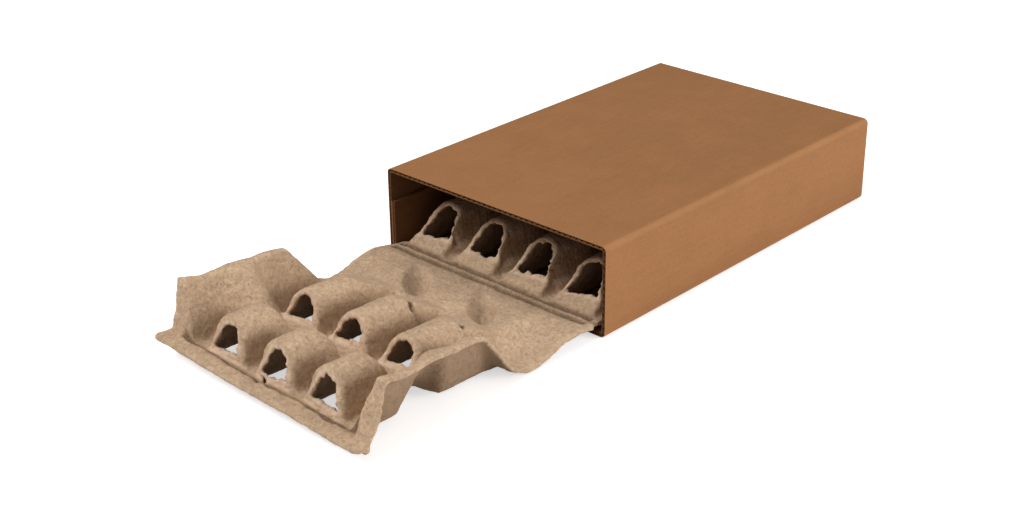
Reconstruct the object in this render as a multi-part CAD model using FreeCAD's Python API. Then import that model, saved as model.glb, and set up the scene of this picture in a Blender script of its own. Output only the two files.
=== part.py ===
"""A protective mailer: a glued sleeve of corrugated board with a moulded pulp insert that slides in it.

The sleeve is one sheet, folded round four corners and closed by a glue flap inside the left wall.
The insert is moulded as one sheet of pulp. Its base lies in the sleeve, and its lid lies open in front
of the mouth, joined to the base by a hinge of two moulded grooves. Rows of hollow arched ridges stand
up from both, four abreast on the base and three on the lid, so that they pass between each other.
Each ridge has an opening in one end wall, and is open below. The insert is split at its hinge line.

A moulded sheet is made here as it is on the mould: every form is a solid that is fused into the top
of the mould, and the same form moved in by the wall is fused into the underside and cut away.

Frame, in millimetres: the origin is the centre of the sleeve's underside, +Z is up, +Y runs into the
sleeve from its mouth, and +X is to the right of someone who looks into the mouth.
"""

import FreeCAD
import Part

import math
import os

V = FreeCAD.Vector

# ---- sleeve ------------------------------------------------------------------------------------
SLEEVE_WIDTH = 130.0
SLEEVE_HEIGHT = 42.0
SLEEVE_LENGTH = 198.0
BOARD = 1.8                  # thickness of the corrugated board
FOLD_RADIUS = 2.4            # outside radius of a folded corner
GLUE_FLAP_HEIGHT = 24.0      # the flap's height up the left wall, above the sleeve's floor
SEAM = 0.5                   # between the left wall's lower edge and the folded floor
MOUTH_Y = -SLEEVE_LENGTH / 2

# ---- insert: the pulp sheet --------------------------------------------------------------------
PULP = 2.4                   # wall of the moulded pulp
BASE_SIDE_CLEARANCE = 0.9    # between the base and the glue flap, and the same on the right
LIFT_OFF_FLOOR = 0.3         # clearance between the base and the sleeve's floor
LID_FLARE = 1.5              # the lid is this much wider than the base, on each side
HINGE_OUT = 2.5              # the hinge line lies this far in front of the mouth
HINGE_GAP = 0.3              # between the base and the lid at the hinge line
HINGE_TOP_Z = 6.0            # top of the sheet at the hinge
GROOVE_SPACING = 4.6         # between the two grooves, one each side of the hinge line
GROOVE_DEPTH = 0.9
GROOVE_WIDTH = 1.8
GROOVE_SHORT = 3.0           # the grooves stop this far short of the sheet's sides
CORNER = 5.0                 # radius of the insert's corners, seen from above
DEEP = 40.0                  # how far the mould's forms reach below the sheet

# ---- ridges ------------------------------------------------------------------------------------
RIDGE_PITCH = 29.6           # across the insert, on the base and on the lid
RIDGE_FOOT = 24.0            # width of a ridge at its foot
CROWN_RADIUS = 9.3           # outside radius of the arched crown
OPENING_WIDTH = 14.0         # at its sill
OPENING_TOP_RADIUS = 6.2     # of its arched top
OPENING_DROP = 0.5           # from the hollow's crown down to the opening's

# ---- base --------------------------------------------------------------------------------------
BASE_SHORT_OF_END = 2.0      # the base stops this far inside the sleeve's far end
BASE_CREST = 19.6            # ridge height above the top of the base's floor
BASE_ROWS = 4
BASE_RIDGES = 4
BASE_TROUGH = 3.0            # height of the trough between two rows, above the floor
FIRST_RAMP = 11.0            # from the mouth to the sill of the first row's openings
FIRST_CREST = 22.5           # from the mouth to where the first row reaches its full height
BASE_SILL = 7.0              # of the first row's openings, above the top of the floor

# ---- lid, described as moulded, before it is tipped up about the hinge ---------------------------
LID_TILT = 2.0               # degrees that the open lid rises towards its free edge
LID_LENGTH = 133.0           # from the hinge line to the lid's free edge
LID_FLOOR_DROP = 7.0         # from the sheet's top at the hinge to the underside of the lid's floor
LID_RIDGES = 3
INNER_CREST = 16.8           # height of the inner row above the top of the lid's floor
OUTER_CREST = 18.2
LID_TROUGH = 3.0             # height of the saddle between the two rows
INNER_FRONT = 77.0           # from the hinge line to where the inner row's end wall starts down
OUTER_BACK = 93.5            # from the hinge line to where the outer row starts up
OUTER_FRONT = 117.0
PANEL_HUMP = 1.4             # the hinge panel rises this much before it falls to the floor
PANEL_FOOT = 35.0            # from the hinge line to where the hinge panel meets the floor
LIP_WIDTH = 8.5              # flange along the lid's free edge
LIP_RISE = 2.2

# ---- lid's side walls ----------------------------------------------------------------------------
WALL_FOOT_IN = 14.2          # from the lid's side in to where the wall's inner face leaves the floor
RIM_WIDTH = 5.0              # of the flat strip along the top of the wall
WALL_NEAR = 44.0             # from the hinge line to the foot of the wall's ramp
RAMP_LENGTH = 21.0
RIM_NEAR = 22.8              # rim above the floor at the hinge end
RIM_FAR = 25.4               # rim above the floor at the free end
WALL_FAR = 119.5             # from the hinge line to the rim's free end
PILASTER_D = 90.5            # from the hinge line to the rib pressed into each side wall
PILASTER_FOOT_RADIUS = 12.5
PILASTER_TOP_RADIUS = 9.0
PILASTER_TOP_OUT = 6.0       # the rib leans this much more than the wall does, so it fades under the rim


# ---- helpers -------------------------------------------------------------------------------------
def prism_x(points, x_from, x_to):
    """A solid with the outline points, given as (y, z), between two planes across X."""
    ring = [V(x_from, y, z) for y, z in points]
    return Part.Face(Part.makePolygon(ring + ring[:1])).extrude(V(x_to - x_from, 0, 0))


def prism_y(points, y_from, y_to):
    """A solid with the outline points, given as (x, z), between two planes across Y."""
    ring = [V(x, y_from, z) for x, z in points]
    return Part.Face(Part.makePolygon(ring + ring[:1])).extrude(V(0, y_to - y_from, 0))


def fuse(shapes):
    return shapes[0].multiFuse(shapes[1:]) if len(shapes) > 1 else shapes[0]


def arch_y(centre_x, foot_half, spring_half, foot_z, spring_z, crown_z, y_from, y_to):
    """A solid under an arch: straight legs, then an arc through the crown, between two planes across Y."""
    foot_left = V(centre_x - foot_half, y_from, foot_z)
    foot_right = V(centre_x + foot_half, y_from, foot_z)
    spring_left = V(centre_x - spring_half, y_from, spring_z)
    spring_right = V(centre_x + spring_half, y_from, spring_z)
    edges = [
        Part.makeLine(foot_left, spring_left),
        Part.Arc(spring_left, V(centre_x, y_from, crown_z), spring_right).toShape(),
        Part.makeLine(spring_right, foot_right),
        Part.makeLine(foot_right, foot_left),
    ]
    return Part.Face(Part.Wire(edges)).extrude(V(0, y_to - y_from, 0))


def ridge_block(centre_x, floor_z, crest, inset, y_from, y_to):
    """The long arched block that a ridge is cut from. An inset of PULP gives its hollow."""
    crown_z = floor_z + crest - inset
    radius = CROWN_RADIUS - inset
    spring_z = crown_z - radius
    foot_half = RIDGE_FOOT / 2 - inset
    drop = spring_z - (floor_z - DEEP)
    flare = (foot_half - radius) / (spring_z - floor_z) * drop
    return arch_y(centre_x, radius + flare, radius, floor_z - DEEP, spring_z, crown_z, y_from, y_to)


def ridge_centres(count):
    return [(i - (count - 1) / 2) * RIDGE_PITCH for i in range(count)]


def below(outline, bottom_z):
    """Closes a line of (y, z) points down to bottom_z."""
    return outline + [(outline[-1][0], bottom_z), (outline[0][0], bottom_z)]


def crossing(a, b, c, d):
    """Where the lines through a, b and through c, d meet."""
    ay, az, by, bz = b[0] - a[0], b[1] - a[1], d[0] - c[0], d[1] - c[1]
    across = ay * bz - az * by
    if abs(across) < 1e-9:
        return b
    t = ((c[0] - a[0]) * bz - (c[1] - a[1]) * by) / across
    return a[0] + ay * t, a[1] + az * t


def offset_in(outline, distance):
    """Moves an open line of (y, z) points square to itself, down and to its inside."""
    shifted = []
    for (y0, z0), (y1, z1) in zip(outline, outline[1:]):
        length = math.hypot(y1 - y0, z1 - z0)
        ny, nz = (z1 - z0) / length * distance, -(y1 - y0) / length * distance
        if nz > 0:
            ny, nz = -ny, -nz
        shifted.append(((y0 + ny, z0 + nz), (y1 + ny, z1 + nz)))
    moved = [shifted[0][0]]
    for (a, b), (c, d) in zip(shifted, shifted[1:]):
        moved.append(crossing(a, b, c, d))
    return moved + [shifted[-1][1]]


def plan(half_width, y_from, y_to, rounded_y):
    """A tall solid with the sheet's outline from above, with the two corners at rounded_y rounded."""
    sign = 1 if rounded_y == y_to else -1
    other = y_from if sign > 0 else y_to
    turn = rounded_y - sign * CORNER
    centre_x, diagonal = half_width - CORNER, CORNER * math.sqrt(0.5)
    left, right = -half_width, half_width
    edges = [
        Part.makeLine(V(left, other, 0), V(left, turn, 0)),
        Part.Arc(
            V(left, turn, 0),
            V(-centre_x - diagonal, turn + sign * diagonal, 0),
            V(-centre_x, rounded_y, 0),
        ).toShape(),
        Part.makeLine(V(-centre_x, rounded_y, 0), V(centre_x, rounded_y, 0)),
        Part.Arc(
            V(centre_x, rounded_y, 0),
            V(centre_x + diagonal, turn + sign * diagonal, 0),
            V(right, turn, 0),
        ).toShape(),
        Part.makeLine(V(right, turn, 0), V(right, other, 0)),
        Part.makeLine(V(right, other, 0), V(left, other, 0)),
    ]
    face = Part.Face(Part.Wire(edges))
    face.translate(V(0, 0, -2 * DEEP))
    return face.extrude(V(0, 0, 4 * DEEP))


def groove(offset_y, half_width):
    """A groove across the sheet, beside the hinge line."""
    y, z = MOUTH_Y - HINGE_OUT + offset_y, HINGE_TOP_Z
    side = GROOVE_WIDTH / 2
    outline = [(y - side, z + 0.5), (y - side, z), (y, z - GROOVE_DEPTH), (y + side, z)]
    return prism_x(outline + [(y + side, z + 0.5)], GROOVE_SHORT - half_width, half_width - GROOVE_SHORT)


# ---- sleeve ------------------------------------------------------------------------------------
def fold(corner, start, end, radius):
    """An arc that rounds a corner between two directions, as (first point, edge, last point)."""
    first = corner + start * radius
    last = corner + end * radius
    centre = corner + (start + end) * radius
    middle = centre - (start + end).normalize() * radius
    return first, Part.Arc(first, middle, last).toShape(), last


def sleeve_ring(inset, radius):
    """A face across the sleeve: its outside, moved in by inset, with rounded folds."""
    left, right = -SLEEVE_WIDTH / 2 + inset, SLEEVE_WIDTH / 2 - inset
    floor, top = inset, SLEEVE_HEIGHT - inset
    up, down, east, west = V(0, 0, 1), V(0, 0, -1), V(1, 0, 0), V(-1, 0, 0)
    corners = [
        (V(left, MOUTH_Y, top), down, east),
        (V(right, MOUTH_Y, top), west, down),
        (V(right, MOUTH_Y, floor), up, west),
        (V(left, MOUTH_Y, floor), east, up),
    ]
    folds = [fold(corner, start, end, radius) for corner, start, end in corners]
    edges = []
    for this, following in zip(folds, folds[1:] + folds[:1]):
        edges.append(this[1])
        edges.append(Part.makeLine(this[2], following[0]))
    return Part.Face(Part.Wire(edges))


def make_sleeve():
    """Folded strip: left wall, top, right wall, floor, then the glue flap up the inside of the left wall."""
    left = -SLEEVE_WIDTH / 2
    tube = sleeve_ring(0, FOLD_RADIUS).cut(sleeve_ring(BOARD, FOLD_RADIUS - BOARD))
    tube = tube.extrude(V(0, SLEEVE_LENGTH, 0))
    flap_foot = V(left + BOARD, MOUTH_Y, BOARD - 0.2)
    flap = Part.makeBox(BOARD, SLEEVE_LENGTH, GLUE_FLAP_HEIGHT + 0.2, flap_foot)
    seam_outline = [(left - 1, -1), (left + BOARD, -1), (left + BOARD, SEAM), (left - 1, SEAM)]
    seam = prism_y(seam_outline, MOUTH_Y - 1, MOUTH_Y + SLEEVE_LENGTH + 1)
    return fuse([tube, flap]).cut(seam).removeSplitter()


# ---- insert, base --------------------------------------------------------------------------------
def base_half_width():
    return SLEEVE_WIDTH / 2 - 2 * BOARD - BASE_SIDE_CLEARANCE


def base_floor():
    """Height of the top of the base's floor."""
    return BOARD + LIFT_OFF_FLOOR + PULP


def base_length():
    return SLEEVE_LENGTH - BASE_SHORT_OF_END


def row_pitch():
    """The rows share the base's length between the mouth and the end lip."""
    return (base_length() - LIP_WIDTH - 12.0) / BASE_ROWS


def base_rows():
    """Side view of the base's ridges, as (y from the mouth, height above the floor's top)."""
    over, pitch = BASE_CREST + 2, row_pitch()
    hinge_height = HINGE_TOP_Z - base_floor()
    line = [(0.0, hinge_height), (FIRST_RAMP, BASE_SILL), (FIRST_CREST, over), (pitch - 3.0, over)]
    for row in range(1, BASE_ROWS):
        start = row * pitch
        line += [(start + 6.0, BASE_TROUGH), (start + 10.0, BASE_TROUGH)]
        line += [(start + 16.0, over), (start + pitch - 3.0, over)]
    return line + [(BASE_ROWS * pitch + 8.0, 0.0)]


def base_opening(x, row):
    """Cuts the opening in the ridge's end wall that faces the mouth."""
    sill = BASE_SILL if row == 0 else BASE_TROUGH + 2.0
    start = row * row_pitch()
    near, far = (2.0, FIRST_CREST + 3.5) if row == 0 else (start + 7.0, start + 21.0)
    return opening(x, base_floor(), sill, BASE_CREST, MOUTH_Y + near, MOUTH_Y + far)


def opening(x, floor_z, sill, crest, y_from, y_to):
    """An arched cutter, as wide at its sill as OPENING_WIDTH, that stops just under the crown."""
    crown_z = floor_z + crest - PULP - OPENING_DROP
    spring_z = crown_z - OPENING_TOP_RADIUS
    half = OPENING_WIDTH / 2
    return arch_y(x, half, OPENING_TOP_RADIUS, floor_z + sill, spring_z, crown_z, y_from, y_to)


def make_base():
    floor_z, half = base_floor(), base_half_width()
    start_y, end_y = MOUTH_Y - HINGE_OUT + HINGE_GAP / 2, MOUTH_Y + base_length()
    rows = [(MOUTH_Y + y, floor_z + z) for y, z in base_rows()]
    # between the ridges the sheet falls from the hinge to the floor, and ends in a lip
    apron = [(start_y, HINGE_TOP_Z), (MOUTH_Y + 2.0, HINGE_TOP_Z), (MOUTH_Y + 6.5, floor_z)]
    apron += [(end_y - LIP_WIDTH - 2.0, floor_z), (end_y - LIP_WIDTH, floor_z + LIP_RISE)]
    apron += [(end_y, floor_z + LIP_RISE)]
    top = [prism_x(below(apron, floor_z - DEEP), -half, half)]
    under = [prism_x(below(beyond(offset_in(apron, PULP)), floor_z - 2 * DEEP), -half - 1, half + 1)]
    rows_top = prism_x(below(rows, floor_z - DEEP), -half, half)
    rows_under = prism_x(below(offset_in(rows, PULP), floor_z - 2 * DEEP), -half, half)
    openings = []
    for x in ridge_centres(BASE_RIDGES):
        block = ridge_block(x, floor_z, BASE_CREST, 0, MOUTH_Y, end_y)
        hollow = ridge_block(x, floor_z, BASE_CREST, PULP, MOUTH_Y, end_y)
        top.append(block.common(rows_top))
        under.append(hollow.common(rows_under))
        openings += [base_opening(x, row) for row in range(BASE_ROWS)]
    sheet = fuse(top).common(plan(half, start_y, end_y, end_y))
    sheet = sheet.cut(fuse(under)).cut(fuse(openings))
    return sheet.cut(groove(GROOVE_SPACING / 2, half)).removeSplitter()


def beyond(outline):
    """Moves the two ends of a line of (y, z) points 1 mm further out."""
    first, last = outline[0], outline[-1]
    way = 1 if last[0] > first[0] else -1
    return [(first[0] - way, first[1])] + outline[1:-1] + [(last[0] + way, last[1])]


# ---- insert, lid ---------------------------------------------------------------------------------
def lid_half_width():
    """The lid follows the base, which follows the sleeve."""
    return base_half_width() + LID_FLARE


def wall_foot_x():
    return lid_half_width() - WALL_FOOT_IN


def wall_top_x():
    return lid_half_width() - RIM_WIDTH


def lid_y(distance):
    """Y of a point at a distance out from the hinge line."""
    return MOUTH_Y - HINGE_OUT - distance


def lid_floor():
    """Height of the top of the lid's floor, before it is tipped up."""
    return HINGE_TOP_Z - LID_FLOOR_DROP + PULP


def on_lid(outline):
    """Turns (distance from the hinge line, height above the floor's top) into (y, z)."""
    return [(lid_y(distance), lid_floor() + height) for distance, height in outline]


def lid_panel():
    """Side view of the sheet between the ridges: hinge panel, floor, then the lip."""
    hinge = HINGE_TOP_Z - lid_floor()
    lip = LID_LENGTH - LIP_WIDTH
    return on_lid(
        [(HINGE_GAP / 2, hinge), (9.0, hinge + PANEL_HUMP), (18.0, hinge + PANEL_HUMP / 2)]
        + [(PANEL_FOOT, 0.0), (lip - 1.5, 0.0), (lip, LIP_RISE), (LID_LENGTH, LIP_RISE - 0.7)]
    )


def inner_row():
    """Side view of the inner row, with its long tail that runs up out of the hinge panel."""
    hinge = HINGE_TOP_Z - lid_floor()
    line = [(8.0, hinge + PANEL_HUMP - 0.6), (20.0, hinge + PANEL_HUMP), (36.0, hinge + 2.8)]
    line += [(46.0, 11.5), (55.0, INNER_CREST - 1.0), (61.0, INNER_CREST + 2)]
    line += [(INNER_FRONT, INNER_CREST + 2), (INNER_FRONT + 5.5, LID_TROUGH)]
    return on_lid(line + [(INNER_FRONT + 12.0, LID_TROUGH)])


def outer_row():
    """Side view of the outer row, from the saddle between the rows to the lip."""
    line = [(INNER_FRONT + 8.0, LID_TROUGH), (OUTER_BACK, LID_TROUGH)]
    line += [(OUTER_BACK + 2.5, 11.0), (OUTER_BACK + 5.0, OUTER_CREST - 2.0)]
    line += [(OUTER_BACK + 9.0, OUTER_CREST + 2), (OUTER_FRONT, OUTER_CREST + 2)]
    return on_lid(line + [(OUTER_FRONT + 4.2, 0.0)])


def wall_bank(side, inset):
    """Side wall as moulded: a bank that leans out to a flat rim. An inset of PULP gives its underside."""
    floor_z, half = lid_floor(), lid_half_width()
    lean = math.atan2(wall_top_x() - wall_foot_x(), RIM_NEAR)
    shift = inset / math.cos(lean)
    edge = half + (1 if inset else 0)
    height = RIM_FAR + 10.0
    across = [
        (wall_foot_x() + shift - math.tan(lean) * DEEP, floor_z - DEEP),
        (wall_foot_x() + shift + math.tan(lean) * height, floor_z + height),
        (edge + 8.0, floor_z + height),
        (edge + 8.0, floor_z - DEEP),
    ]
    along = [(WALL_NEAR - 3.0, 0.0), (WALL_NEAR + 5.0, 3.0), (WALL_NEAR + RAMP_LENGTH - 5.0, 17.0)]
    along += [(WALL_NEAR + RAMP_LENGTH, RIM_NEAR), (WALL_FAR, RIM_FAR), (LID_LENGTH - LIP_WIDTH, 0.0)]
    along = on_lid(along)
    if inset:
        along = offset_in(along, inset)
    bank = prism_y([(side * x, z) for x, z in across], lid_y(LID_LENGTH), lid_y(0))
    return bank.common(prism_x(below(along, floor_z - DEEP), -edge, edge))


def pilaster(side, inset):
    """The rib pressed into a side wall: a tapered half round that stands on the floor inside the wall."""
    floor_z = lid_floor()
    foot_r, top_r = PILASTER_FOOT_RADIUS - inset, PILASTER_TOP_RADIUS - inset
    foot_x, top_x = wall_foot_x(), wall_top_x() + PILASTER_TOP_OUT
    rise = RIM_NEAR + 0.4 - inset
    slope_x, slope_r = (top_x - foot_x) / rise, (top_r - foot_r) / rise
    rings = []
    for height in (-inset - PULP, rise):
        centre = V(side * (foot_x + slope_x * height), lid_y(PILASTER_D), floor_z + height)
        circle = Part.Circle(centre, V(0, 0, 1), foot_r + slope_r * height)
        rings.append(Part.Wire([circle.toShape()]))
    return Part.makeLoft(rings, True)


def make_lid():
    floor_z, half = lid_floor(), lid_half_width()
    start_y, end_y = lid_y(HINGE_GAP / 2), lid_y(LID_LENGTH)
    top = [prism_x(below(lid_panel(), floor_z - DEEP), -half, half)]
    under = beyond(offset_in(lid_panel(), PULP))
    under = [prism_x(below(under, floor_z - 2 * DEEP), -half - 1, half + 1)]
    cutters = []
    rows = ((inner_row(), INNER_CREST, INNER_FRONT, 4.2), (outer_row(), OUTER_CREST, OUTER_FRONT, 3.0))
    for outline, crest, front, sill in rows:
        row_top = prism_x(below(outline, floor_z - DEEP), -half, half)
        row_under = prism_x(below(offset_in(outline, PULP), floor_z - 2 * DEEP), -half, half)
        for x in ridge_centres(LID_RIDGES):
            block = ridge_block(x, floor_z, crest, 0, end_y, start_y)
            hollow = ridge_block(x, floor_z, crest, PULP, end_y, start_y)
            top.append(block.common(row_top))
            under.append(hollow.common(row_under))
            cutters.append(opening(x, floor_z, sill, crest, lid_y(front + 6.5), lid_y(front - 1.0)))
    for side in (-1, 1):
        top += [wall_bank(side, 0), pilaster(side, 0)]
        under += [wall_bank(side, PULP), pilaster(side, PULP)]
    sheet = fuse(top).common(plan(half, end_y, start_y, end_y))
    sheet = sheet.cut(fuse(under)).cut(fuse(cutters))
    sheet = sheet.cut(groove(-GROOVE_SPACING / 2, half)).removeSplitter()
    sheet.rotate(V(0, lid_y(0), HINGE_TOP_Z), V(-1, 0, 0), LID_TILT)
    return sheet


def main():
    os.makedirs("parts", exist_ok=True)
    nodes = {"sleeve": make_sleeve(), "insert_base": make_base(), "insert_lid": make_lid()}
    for name, shape in nodes.items():
        box = shape.BoundBox
        print(
            f"{name}: {len(shape.Solids)} solid, {len(shape.Faces)} faces, {shape.Volume / 1000:.1f} cm3,"
            f" valid {shape.isValid()}, x {box.XMin:.1f}..{box.XMax:.1f},"
            f" y {box.YMin:.1f}..{box.YMax:.1f}, z {box.ZMin:.2f}..{box.ZMax:.2f}"
        )
        shape.exportStep(f"parts/{name}.step")


main()
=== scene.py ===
# %% [markdown]
# # A protective mailer
# This notebook dresses a protective mailer: a sleeve of corrugated board, and a moulded pulp insert
# that lies half in it and half open in front of it. The moving frame is loaded first, because every
# piece made later is placed from it; the sleeve's papers also move with its sleeve body.

import math

import bpy
import numpy as np
from mathutils import Matrix, Vector, bvhtree, kdtree, noise


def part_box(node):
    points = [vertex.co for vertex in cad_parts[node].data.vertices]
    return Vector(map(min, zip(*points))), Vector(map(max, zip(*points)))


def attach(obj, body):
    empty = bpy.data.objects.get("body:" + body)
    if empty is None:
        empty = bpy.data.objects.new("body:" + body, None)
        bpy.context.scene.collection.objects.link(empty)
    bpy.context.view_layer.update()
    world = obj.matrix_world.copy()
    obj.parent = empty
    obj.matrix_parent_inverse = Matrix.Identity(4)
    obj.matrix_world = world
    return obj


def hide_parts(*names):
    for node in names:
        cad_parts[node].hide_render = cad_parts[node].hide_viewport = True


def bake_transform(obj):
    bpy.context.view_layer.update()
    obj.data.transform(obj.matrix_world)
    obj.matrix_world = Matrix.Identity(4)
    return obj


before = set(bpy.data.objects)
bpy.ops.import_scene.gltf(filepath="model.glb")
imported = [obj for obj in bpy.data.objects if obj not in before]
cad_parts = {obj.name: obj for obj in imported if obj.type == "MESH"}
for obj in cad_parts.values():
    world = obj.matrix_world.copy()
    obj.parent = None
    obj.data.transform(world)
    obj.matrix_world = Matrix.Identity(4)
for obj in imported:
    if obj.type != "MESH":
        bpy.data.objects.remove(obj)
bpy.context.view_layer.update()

# %% [markdown]
# ## Camera
# The camera looks down on the mailer from in front of the mouth and to its right. A lens of 58 mm is
# close to how a product is usually shot: long enough that the sleeve's edges stay nearly parallel.

# %% Camera
SLEEVE_LOW, SLEEVE_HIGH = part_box("sleeve")
MOUTH_Y = SLEEVE_LOW.y


def add_camera(place, right, up, back, lens):
    """Adds the scene's camera at a place, from its three axes."""
    data = bpy.data.cameras.new("camera")
    data.lens, data.sensor_width = lens, 36.0
    camera = bpy.data.objects.new("camera", data)
    turn = Matrix((right, up, back)).transposed().to_4x4()
    camera.matrix_world = Matrix.Translation(place) @ turn
    bpy.context.scene.collection.objects.link(camera)
    bpy.context.scene.camera = camera
    return camera


YAW, PITCH, ROLL = (math.radians(angle) for angle in (43.13, 25.38, -0.57))
LENS = 58.31
CAMERA_PLACE = Vector((0.4551, MOUTH_Y - 0.4727, 0.3290))
look = Vector((-math.sin(YAW) * math.cos(PITCH), math.cos(YAW) * math.cos(PITCH), -math.sin(PITCH)))
level = look.cross(Vector((0, 0, 1))).normalized()
upright = level.cross(look)
right = math.cos(ROLL) * level + math.sin(ROLL) * upright
up = math.cos(ROLL) * upright - math.sin(ROLL) * level
camera = add_camera(CAMERA_PLACE, right, up, -look, LENS)
print("camera at", tuple(round(c, 3) for c in camera.location))

# %% [markdown]
# ## Floor, world and lamps
# The floor is a plain pale sheet that catches a soft shadow. The lamps are wide, so that the shadows
# have no hard edge. The main one hangs high and a little to the left, so the ridges' right flanks and
# the inside of the sleeve stay dark. A lower one on the right lights the sleeve's side.

# %% Floor and world
bpy.context.scene.view_settings.view_transform = "Standard"
FLOOR_DROP = 0.0004
FLOOR_GREY = 0.86
FLOOR_GLOW = 0.60


def add_floor(half):
    """Adds a square floor that reaches half metres each way."""
    bpy.ops.object.select_all(action="DESELECT")
    bpy.ops.mesh.primitive_plane_add(size=2 * half, location=(0, 0, 0))
    floor = bpy.context.active_object
    floor.name = "floor"
    floor.location.z = -FLOOR_DROP
    return floor


def node(tree, kind, **settings):
    """Adds a node; a setting whose name is an input's goes to that input."""
    made = tree.nodes.new(kind)
    for name, value in settings.items():
        if hasattr(made, name):
            setattr(made, name, value)
        else:
            made.inputs[name].default_value = value
    return made


def wire(tree, source, target):
    """Joins an output to an input."""
    tree.links.new(source, target)


def math_node(tree, operation, a, b=None):
    """A Math node on sockets or numbers; gives its output."""
    made = node(tree, "ShaderNodeMath", operation=operation)
    for socket, value in zip(made.inputs, (a, b)):
        if value is None:
            continue
        if isinstance(value, (int, float)):
            socket.default_value = value
        else:
            wire(tree, value, socket)
    return made.outputs[0]


def floor_material():
    """A pale floor that shows white to the camera and keeps the shadow."""
    material = bpy.data.materials.new("pale floor")
    material.use_nodes = True
    tree = material.node_tree
    tree.nodes.clear()
    out = node(tree, "ShaderNodeOutputMaterial")
    diffuse = node(tree, "ShaderNodeBsdfDiffuse", Color=(FLOOR_GREY, FLOOR_GREY, FLOOR_GREY, 1))
    glow = node(tree, "ShaderNodeEmission")
    seen = node(tree, "ShaderNodeLightPath").outputs["Is Camera Ray"]
    add = node(tree, "ShaderNodeAddShader")
    wire(tree, math_node(tree, "MULTIPLY", seen, FLOOR_GLOW), glow.inputs["Strength"])
    wire(tree, diffuse.outputs[0], add.inputs[0])
    wire(tree, glow.outputs[0], add.inputs[1])
    wire(tree, add.outputs[0], out.inputs["Surface"])
    return material


floor = add_floor(6.0)
floor.data.materials.append(floor_material())


def set_world(horizon, zenith):
    """A plain world, brighter overhead than at the sides, that shows white behind the floor."""
    world = bpy.data.worlds.new("studio")
    bpy.context.scene.world = world
    world.use_nodes = True
    tree = world.node_tree
    background = tree.nodes["Background"]
    background.inputs["Color"].default_value = (1, 1, 1, 1)
    where = node(tree, "ShaderNodeTexCoord")
    split = node(tree, "ShaderNodeSeparateXYZ")
    level = node(tree, "ShaderNodeMapRange")
    level.inputs["To Min"].default_value = horizon
    level.inputs["To Max"].default_value = zenith
    path = node(tree, "ShaderNodeLightPath")
    mix = node(tree, "ShaderNodeMix")
    mix.inputs[3].default_value = 1.0
    wire(tree, where.outputs["Generated"], split.inputs[0])
    wire(tree, split.outputs["Z"], level.inputs["Value"])
    wire(tree, level.outputs[0], mix.inputs[2])
    wire(tree, path.outputs["Is Camera Ray"], mix.inputs[0])
    wire(tree, mix.outputs[0], background.inputs["Strength"])


set_world(0.12, 0.50)


def add_lamp(name, place, aim, size, watts):
    """Adds a square area lamp that faces the point aim."""
    data = bpy.data.lights.new(name, "AREA")
    data.size, data.energy = size, watts
    lamp = bpy.data.objects.new(name, data)
    lamp.location = place
    lamp.rotation_euler = (Vector(aim) - Vector(place)).to_track_quat("-Z", "Y").to_euler()
    bpy.context.scene.collection.objects.link(lamp)
    return lamp


MIDDLE = (0.0, MOUTH_Y, 0.0)
add_lamp("side lamp", (1.3, 0.4, 0.38), MIDDLE, 0.7, 15.5)
add_lamp("top lamp", (-0.45, -1.0, 1.35), MIDDLE, 0.9, 22.3)
print("floor, world and lamps are set")

# %% [markdown]
# ## The sleeve's board
# Single-wall corrugated board is three papers: an outer liner, a waved medium and an inner liner. It
# could be one thick sheet with a bump map, but its cut edges show the waves, so each paper is a piece
# of its own. A flat grid is the easiest start: its columns follow the board's developed length, and
# every column is then wrapped round the four folds. The folds get many narrow columns and the flat
# panels few, because only the folds need them to look round.

# %% Sizes of the board
MM = 0.001
HALF_WIDTH, HEIGHT = SLEEVE_HIGH.x, SLEEVE_HIGH.z
BACK_Y = SLEEVE_HIGH.y
BOARD = 1.8 * MM
LINER = 0.24 * MM
MEDIUM = 0.17 * MM
FLUTE_PITCH = 3.1 * MM
FOLD_RADIUS = 2.4 * MM
FLAP_TOP = BOARD + 24.0 * MM
SEAM = 0.5 * MM
print("board", BOARD / MM, "mm thick with flutes every", FLUTE_PITCH / MM, "mm")


# %% Selecting, naming and applying
def solo(name):
    """Names the object that the last operator made, and gives it back."""
    piece = bpy.context.active_object
    piece.name = name
    piece.data.name = name
    return piece


def clear_selection():
    """Leaves any edit mode, with nothing selected."""
    if bpy.context.mode != "OBJECT":
        bpy.ops.object.mode_set(mode="OBJECT")
    bpy.ops.object.select_all(action="DESELECT")


def select_only(piece):
    """Selects one piece and makes it the active one."""
    clear_selection()
    piece.select_set(True)
    bpy.context.view_layer.objects.active = piece


def apply_modifier(piece, modifier):
    """Makes a modifier's result the piece's own mesh."""
    select_only(piece)
    bpy.ops.object.modifier_apply(modifier=modifier.name)


print("each piece is made at the origin, in metres")

# %% The path that the board is folded along
def arc_points(centre_x, centre_z, from_angle, steps):
    """Outside points of a quarter fold, turning clockwise, each with its way in."""
    points = []
    for i in range(steps + 1):
        angle = from_angle - math.pi / 2 * i / steps
        out = (math.cos(angle), math.sin(angle))
        place = (centre_x + FOLD_RADIUS * out[0], centre_z + FOLD_RADIUS * out[1])
        points.append((place, (-out[0], -out[1])))
    return points


def between(start, end, t, steps):
    """The place t steps of the way from one flat place to another."""
    return tuple(a + (b - a) * t / steps for a, b in zip(start, end))


def run_points(start, end, way_in, spacing):
    """Points along a flat panel, without its two ends."""
    count = max(2, int(round(math.dist(start, end) / spacing)))
    return [(between(start, end, i, count), way_in) for i in range(1, count)]


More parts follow.
